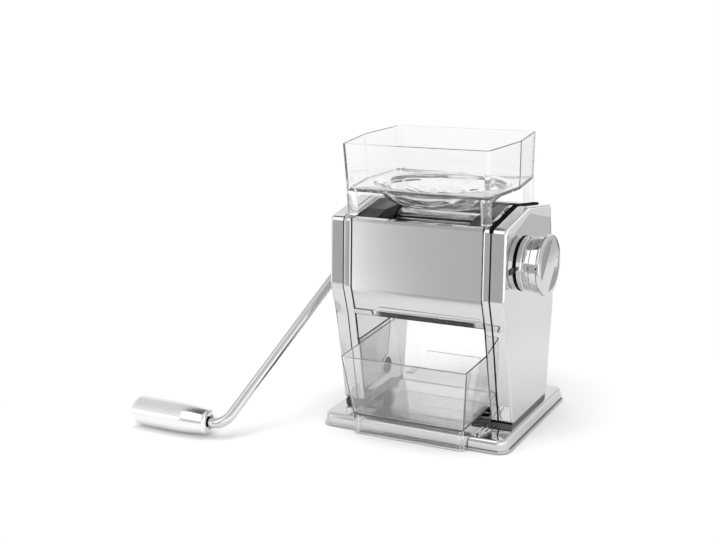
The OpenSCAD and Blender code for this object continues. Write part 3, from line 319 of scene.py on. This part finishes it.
SATIN_LOW_Z, SATIN_HIGH_Z, SATIN_FRONT_Y = (0.1243, 0.1247), (0.1810, 0.1814), (-0.046, -0.044)
# The last tone, for the seam, is a painted shadow of the gap at the panel's left edge.
SATIN_TONE, BORDER_TONE, SEAM_SHADOW_TONE = (0.66, 0.70), (0.60, 0.64), 0.05
SATIN_ROUGH, BORDER_ROUGH = (0.12, 0.15), (0.05, 0.09)
SATIN_GRAIN, PANEL_WAVE = 0.00001, 0.0002
SEAM_START, SEAM_END = 0.0011, 0.0015  # from the panel's left edge


def satin_panel():
    """Blasted plate with a polished border at its top edge and below its bend, and a painted shadow
    of the gap at its left edge."""
    mat, g, shader = surface("satin_panel")
    x, y, z = g.xyz()
    satin = g.product(g.above(z, SATIN_LOW_Z), g.below(z, SATIN_HIGH_Z), g.below(y, SATIN_FRONT_Y))
    cloud = g.noise(30.0, detail=4.0)
    tone = g.blend(satin, g.ramp(cloud, 0.0, 1.0, *BORDER_TONE),
                   g.ramp(cloud, 0.0, 1.0, *SATIN_TONE))
    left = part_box("front_panel")[0].x
    # Painted shadow of the gap: the seam tone in a narrow band along the panel's left edge.
    tone = g.blend(g.below(x, (left + SEAM_START, left + SEAM_END)), tone, SEAM_SHADOW_TONE)
    smudge = g.noise(60.0, detail=5.0, rough=0.65)
    wave = g.bump(g.noise(14.0, detail=1.0, rough=0.4), PANEL_WAVE)
    g.fill(shader, {
        "Base Color": g.put("ShaderNodeCombineColor", {0: tone, 1: tone, 2: tone}).outputs[0],
        "Metallic": 1.0,
        "Roughness": g.blend(satin, g.ramp(smudge, 0.0, 1.0, *BORDER_ROUGH),
                             g.ramp(smudge, 0.0, 1.0, *SATIN_ROUGH)),
        "Normal": g.bump(g.product(satin, g.noise(1600.0, detail=3.0)), SATIN_GRAIN, wave)})
    return mat


# ---------------------------------------------------------------- materials of the pieces
def dress(mat, *names):
    for name in names:
        mesh = NODES[name].data
        mesh.materials.clear()
        mesh.materials.append(mat)


CHROME = (0.65, 0.65, 0.655)
dress(metal("chrome_plate", CHROME, 0.02, wave=0.0004),
      "base_plate", "left_inner_side", "right_inner_side", "rear_panel", "knob_rim", "crank_arm")
# The inside of the left cover is painted near black, as painted shade where it shows through the
# eyelet.
dress(metal("left_cover_chrome", CHROME, 0.02, wave=0.0008, wave_scale=30.0, lean=left_front_lean,
            marks=((left_inside_painted_shade, (0.03, 0.03, 0.03)),)), "left_side_cover")
# On the right cover's side face: a painted highlight along the top and back border, and a painted
# shade line in the crease inside the back border.
dress(metal("right_cover_chrome", CHROME, 0.02, wave=0.0004,
            marks=((right_border_painted_highlight, (0.92, 0.92, 0.925)), (right_crease_painted_shade, (0.16, 0.16, 0.162)))),
      "right_side_cover")
dress(metal("knob_chrome", CHROME, 0.02, wave=0.0007, wave_scale=75.0),
      "index_ring", "regulator_knob")
# The underside of the lip's bar is painted dark, as painted shade.
dress(metal("lip_chrome", CHROME, 0.04, wave=0.0003,
            marks=((lip_underside_painted_shade, (0.09, 0.09, 0.092)),)), "chute_lip")
# The eyelet's bore is painted near black, as painted shade.
dress(metal("eyelet_chrome", (0.95, 0.95, 0.95), 0.2, wave=0.0002,
            marks=((eyelet_bore_painted_shade, (0.02, 0.02, 0.02)),)), "eyelet")
dress(metal("silver_grip", (0.86, 0.86, 0.865), 0.12, rough_spread=0.05), "crank_grip", "grip_cap")
dress(metal("zinc_steel", (0.55, 0.56, 0.57), 0.22, rough_spread=0.1, grain=0.00002),
      "left_bearing_plate", "right_bearing_plate", "tie_rods", "rod_screws", "cover_studs",
      "idler_stud", "base_screws", "base_nuts", "adjuster_yoke", "front_scraper", "rear_scraper",
      "regulator_shaft", "regulator_cam", "shaft_end_screw", "knob_pin", "grub_screw",
      "knob_spring", "grip_retainer")
dress(metal("ground_steel", (0.66, 0.67, 0.69), 0.16, rough_spread=0.1, grain=0.00012,
            grain_scale=420.0, stretch=(0.05, 1, 1)),
      "drive_roller", "adjustable_roller", "feed_roller")
dress(satin_panel(), "front_panel")
dress(plastic("black_seal", (0.003, 0.003, 0.003), 0.6, specular=0.05),
      "left_side_gasket", "right_side_gasket", "knob_gasket")
dress(plastic("black_moulding", (0.016, 0.016, 0.017), 0.34, specular=0.4),
      "index_mark", "left_grain_guide", "right_grain_guide", "crank_bush")
dress(plastic("black_plinth", (0.02, 0.02, 0.021), 0.14, specular=0.9),
      "left_plinth", "right_plinth", "left_tray_runner", "right_tray_runner")
dress(plastic("rubber_feet", (0.03, 0.03, 0.03), 0.7, grain=0.00003), "rubber_feet")
dress(plastic("acetal", (0.78, 0.76, 0.70), 0.4),
      "drive_bushes", "feed_bushes", "left_bearing_block", "right_bearing_block", "regulator_bush")
dress(plastic("nylon_gears", (0.86, 0.85, 0.82), 0.4),
      "drive_gear", "adjustable_gear", "idler_gear", "feed_gear")
dress(clear_plastic("clear_hopper", skin=bowl_skin, depth=0.008), "hopper")
dress(clear_plastic("clear_tray"), "tray")


# ---------------------------------------------------------------- smooth shading
SAME_POINT = 1e5  # points that round to the same hundredth of a millimetre are one
TINY = 1e-15


def soften(name, limit=40.0):
    """Shading normals of a CAD node: the faces that meet at a point within the limit share one,
    by their areas and corner angles. The mesh itself stays as it is."""
    mesh = NODES[name].data
    points = np.empty(len(mesh.vertices) * 3)
    mesh.vertices.foreach_get("co", points)
    corners = np.empty(len(mesh.loops), int)
    mesh.loops.foreach_get("vertex_index", corners)
    if len(corners) != 3 * len(mesh.polygons):
        return
    place = points.reshape(-1, 3)[corners]
    tri = place.reshape(-1, 3, 3)
    cross = np.cross(tri[:, 1] - tri[:, 0], tri[:, 2] - tri[:, 0])
    length = np.linalg.norm(cross, axis=1)
    angle = np.empty((len(tri), 3))
    for k in range(3):
        a, b = tri[:, (k + 1) % 3] - tri[:, k], tri[:, (k + 2) % 3] - tri[:, k]
        reach = np.linalg.norm(a, axis=1) * np.linalg.norm(b, axis=1)
        cosine = np.einsum("ij,ij->i", a, b) / np.maximum(reach, TINY)
        angle[:, k] = np.arccos(np.clip(cosine, -1, 1))
    weight = (angle * length[:, None]).reshape(-1)
    flat = np.repeat(cross / np.maximum(length, TINY)[:, None], 3, axis=0)
    spot = np.unique(np.round(place * SAME_POINT).astype(np.int64), axis=0,
                     return_inverse=True)[1].reshape(-1)
    order = np.argsort(spot, kind="stable")
    starts = np.flatnonzero(np.r_[True, np.diff(spot[order]) > 0, True])
    result = flat.copy()
    least = math.cos(math.radians(limit))
    for start, end in zip(starts[:-1], starts[1:]):
        if end - start > 1:
            group = order[start:end]
            faces = flat[group]
            near = (faces @ faces.T > least) * weight[group][None, :]
            result[group] = near @ faces
    size = np.linalg.norm(result, axis=1)[:, None]
    result = np.where(size > TINY, result / np.maximum(size, TINY), flat)
    mesh.polygons.foreach_set("use_smooth", np.ones(len(mesh.polygons), bool))
    mesh.normals_split_custom_set(result.tolist())


for softened in ("hopper", "tray", "base_plate", "left_inner_side", "right_inner_side",
                 "left_side_cover", "right_side_cover", "left_side_gasket", "right_side_gasket",
                 "front_panel", "rear_panel", "chute_lip", "regulator_knob", "knob_rim",
                 "crank_arm", "crank_grip", "grip_cap", "left_plinth", "right_plinth", "eyelet"):
    soften(softened)


# ---------------------------------------------------------------- left seal
SEAL_WIDTH = 0.36  # share of the CAD width
SEAL_DEPTH = 0.0026


def slim_seal():
    """The left seal lies in its seam, below the rounded edges of the side and the cover."""
    mesh = NODES["left_side_gasket"].data.copy()
    mesh.name = "left_seal"
    low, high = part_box("left_side_gasket")
    middle, half = (low + high) / 2, (high - low) / 2
    shares = (SEAL_WIDTH, 1 - SEAL_DEPTH / half.y, 1 - SEAL_DEPTH / half.z)
    for vertex in mesh.vertices:
        for axis, share in enumerate(shares):
            vertex.co[axis] = middle[axis] + (vertex.co[axis] - middle[axis]) * share
    obj = bpy.data.objects.new("left_seal", mesh)
    bpy.context.scene.collection.objects.link(obj)
    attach(obj, NODES["left_side_gasket"]["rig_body"])
    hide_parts("left_side_gasket")


slim_seal()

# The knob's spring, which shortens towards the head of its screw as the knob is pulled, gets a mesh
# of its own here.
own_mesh(NODES["knob_spring"])


# ---------------------------------------------------------------- floor and lamps
FLOOR_SIZE, FLOOR_CENTRE = 6.0, (-0.03, -0.03, 0)
PAPER, WHITE = (0.86, 0.86, 0.86, 1), (1, 1, 1, 1)
PAPER_FADE = (0.20, 0.38)  # from the centre
MIRROR_FADE, MIRROR_FRONT_Y = (0.62, 0.76), (-0.42, -0.32)  # where the paper ends in mirrors


def floor():
    """White paper: lit near the mill, and plain white further out. In mirrors the paper ends, and
    the studio beyond it shows."""
    s = FLOOR_SIZE
    mesh = bpy.data.meshes.new("floor")
    mesh.from_pydata([(-s, -s, 0), (s, -s, 0), (s, s, 0), (-s, s, 0)], [], [(0, 1, 2, 3)])
    obj = bpy.data.objects.new("floor", mesh)
    bpy.context.scene.collection.objects.link(obj)
    mat = bpy.data.materials.new("floor_paper")
    g = Graph(mat, "Object")
    paper = g.put("ShaderNodeBsdfDiffuse", {"Color": PAPER, "Roughness": 0.5})
    white = g.put("ShaderNodeEmission", {"Color": WHITE, "Strength": 1.0})
    away = g.away(g.vector, FLOOR_CENTRE)
    near = g.mix_shader(g.above(away, PAPER_FADE), paper.outputs[0], white.outputs[0])
    ray = g.put("ShaderNodeLightPath").outputs
    mirror = g.product(ray["Is Glossy Ray"], g.math("SUBTRACT", 1.0, ray["Is Transmission Ray"]))
    beyond = g.math("MAXIMUM", g.above(away, MIRROR_FADE), g.below(g.xyz()[1], MIRROR_FRONT_Y))
    gone = g.put("ShaderNodeBsdfTransparent").outputs[0]
    g.put("ShaderNodeOutputMaterial",
          {"Surface": g.mix_shader(g.product(mirror, beyond), near, gone)})
    mesh.materials.append(mat)


floor()


def lamp(name, place, target, size, power):
    """A square lamp that mirrors and clear pieces don't show."""
    data = bpy.data.lights.new(name, "AREA")
    data.shape = "SQUARE"
    data.size = size
    data.energy = power
    obj = bpy.data.objects.new(name, data)
    obj.location = place
    obj.rotation_euler = (Vector(target) - Vector(place)).to_track_quat("-Z", "Y").to_euler()
    obj.visible_glossy = False
    obj.visible_transmission = False
    bpy.context.scene.collection.objects.link(obj)


lamp("key_overhead", (-0.1, 0.0, 1.6), (0, 0, 0.1), 1.4, 17)
lamp("soft_left", (-1.1, -0.9, 0.9), (0, 0, 0.12), 1.0, 4)

# ---------------------------------------------------------------- studio
# Brightness of the surroundings, and of the cards in them
ROOM_FRONT, ROOM_BACK, CEILING, FAR_FLOOR = 0.9, 1.0, 0.75, 0.68
SOFT_BOX, RIGHT_BOX, TOP_BOX, GREY_CARD, DARK_CARD, KNOB_CARD = 1.7, 1.6, 1.6, 0.57, 0.2, 0.1
# Spans of the ray's direction, a vector of length 1, over which they fade
ROOM_Y, CEILING_Z = (-0.25, 0.25), (0.45, 0.75)
FAR_FLOOR_Z, FAR_FLOOR_Y = (-0.16, -0.08), (0.3, 0.5)
NARROW_LEFT_X, NARROW_RIGHT_X = (-0.47, -0.42), (-0.20, -0.12)
FRONT_TOP_Y, FRONT_TOP_Z = (-0.30, -0.20), (0.22, 0.28)
OVER_TOP_FRONT_Y, OVER_TOP_BACK_Y, OVER_TOP_Z = (-0.26, -0.2), (0.70, 0.80), (0.42, 0.5)
THROUGH_Z = (0.25, 0.4)


def studio():
    """World: white to the camera and through clear pieces. To mirrors it is a white backdrop behind
    the mill, a greyer room on the camera's side, a grey ceiling, soft boxes and dark cards."""
    world = bpy.data.worlds.new("studio")
    bpy.context.scene.world = world
    g = Graph(world, "Generated")
    x, y, z = g.xyz()
    flat = g.math("SQRT", g.math("MULTIPLY_ADD", x, x, g.product(y, y)))

    def card(bearing, half_width, edge, low, high, fade):
        """Upright card around a bearing (0 in front, 90 on the left) between two heights of the
        ray. The bearing, half width and soft edge are in degrees."""
        turn = math.radians(bearing)
        along = g.math("MULTIPLY_ADD", x, -math.sin(turn), g.product(y, -math.cos(turn)))
        span = [math.cos(math.radians(angle)) for angle in (half_width + edge, half_width)]
        heights = g.product(g.above(z, (low - fade, low)), g.below(z, (high, high + fade)))
        return g.product(g.above(g.math("DIVIDE", along, flat), span), heights)

    narrow = g.product(g.above(x, NARROW_LEFT_X), g.below(x, NARROW_RIGHT_X))
    front_top = g.product(g.below(y, FRONT_TOP_Y), g.above(z, FRONT_TOP_Z))
    over_top = g.product(g.above(y, OVER_TOP_FRONT_Y), g.below(y, OVER_TOP_BACK_Y),
                         g.above(z, OVER_TOP_Z))
    level = g.smooth(y, *ROOM_Y, ROOM_FRONT, ROOM_BACK)
    for mask, strength in (
            (g.product(g.below(z, FAR_FLOOR_Z), g.above(y, FAR_FLOOR_Y)), FAR_FLOOR),
            (g.above(z, CEILING_Z), CEILING),
            (card(46.0, 20.0, 3.0, low=-0.4, high=0.2, fade=0.1), SOFT_BOX),
            (card(10.0, 16.5, 4.5, low=-0.6, high=0.2, fade=0.15), GREY_CARD),
            (card(-70.0, 50.0, 20.0, low=-0.3, high=0.25, fade=0.1), RIGHT_BOX),
            (g.product(narrow, front_top), TOP_BOX),
            (g.product(narrow, over_top), KNOB_CARD),
            (card(-168.0, 3.0, 2.0, low=-0.6, high=0.7, fade=0.1), DARK_CARD)):
        level = g.blend(mask, level, strength)
    ray = g.put("ShaderNodeLightPath").outputs
    through = g.product(ray["Is Transmission Ray"], g.below(z, THROUGH_Z))
    level = g.blend(g.math("MAXIMUM", ray["Is Camera Ray"], through), level, 1.0)
    back = g.put("ShaderNodeBackground", {"Color": WHITE, "Strength": level})
    g.put("ShaderNodeOutputWorld", {0: back.outputs[0]})


studio()

# ---------------------------------------------------------------- camera
# Fitted to the photograph by least squares
IMAGE_WIDTH, FOCAL_LENGTH = 716, 1232.82  # in pixels
SENSOR_WIDTH = 36.0  # in millimetres
CAMERA_PLACE = (0.43721, -0.93770, 0.41390)
CAMERA_RIGHT = (0.87820, 0.47688, -0.03678)
CAMERA_UP = (-0.09395, 0.24739, 0.96435)
CAMERA_BACK = (0.46898, -0.84343, 0.26206)

lens = bpy.data.cameras.new("camera")
lens.sensor_width = SENSOR_WIDTH
lens.lens = FOCAL_LENGTH * SENSOR_WIDTH / IMAGE_WIDTH
lens.clip_start = 0.05
camera = bpy.data.objects.new("camera", lens)
bpy.context.scene.collection.objects.link(camera)
pose = Matrix((CAMERA_RIGHT, CAMERA_UP, CAMERA_BACK)).transposed().to_4x4()
pose.translation = CAMERA_PLACE
camera.matrix_world = pose
bpy.context.scene.camera = camera
bpy.context.scene.view_settings.view_transform = "Standard"
